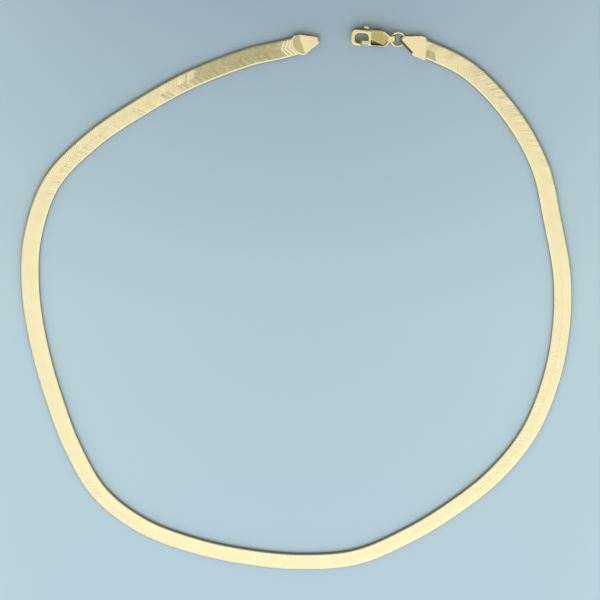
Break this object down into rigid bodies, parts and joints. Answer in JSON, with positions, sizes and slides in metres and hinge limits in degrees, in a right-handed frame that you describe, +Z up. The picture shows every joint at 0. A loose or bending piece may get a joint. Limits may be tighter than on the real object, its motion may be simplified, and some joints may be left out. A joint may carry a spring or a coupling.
{
  "type": "herringbone chain necklace",
  "caption": "Flat herringbone necklace of polished gold, lying open, with folded end caps, a jump ring and a trigger clasp with a spring lever.",
  "frame": {"origin": "centre of the whole piece's box, on the surface that it lies on", "axes": "+X to the picture's right, +Y to the picture's top, where the clasp is, +Z up from the surface"},
  "size_m": [0.15, 0.1538, 0.0024],
  "materials": {
    "band_gold": "polished woven gold, creamy yellow, with fine slanting link lines",
    "cap_gold": "polished yellow gold sheet with fine wear scratches",
    "wire_gold": "polished yellow gold wire",
    "clasp_gold": "polished yellow gold casting, satin in the sunk face",
    "lever_gold": "satin yellow gold"
  },
  "bodies": {
    "necklace": {"herringbone_band": "band_gold", "end_cap_clasp": "cap_gold", "end_cap_catch": "cap_gold", "jump_ring": "wire_gold", "clasp_body": "clasp_gold", "clasp_pin": "clasp_gold"},
    "lever": {"clasp_lever": "lever_gold"}
  },
  "joints": [
    {"name": "lever_hinge", "type": "hinge", "parent": "necklace", "child": "lever", "pos_m": [0.02024, 0.0747, 0.0012], "axis": [0, 0, -1], "range_deg": [0, 22], "stiffness_Nm_per_rad": 0.002}
  ]
}
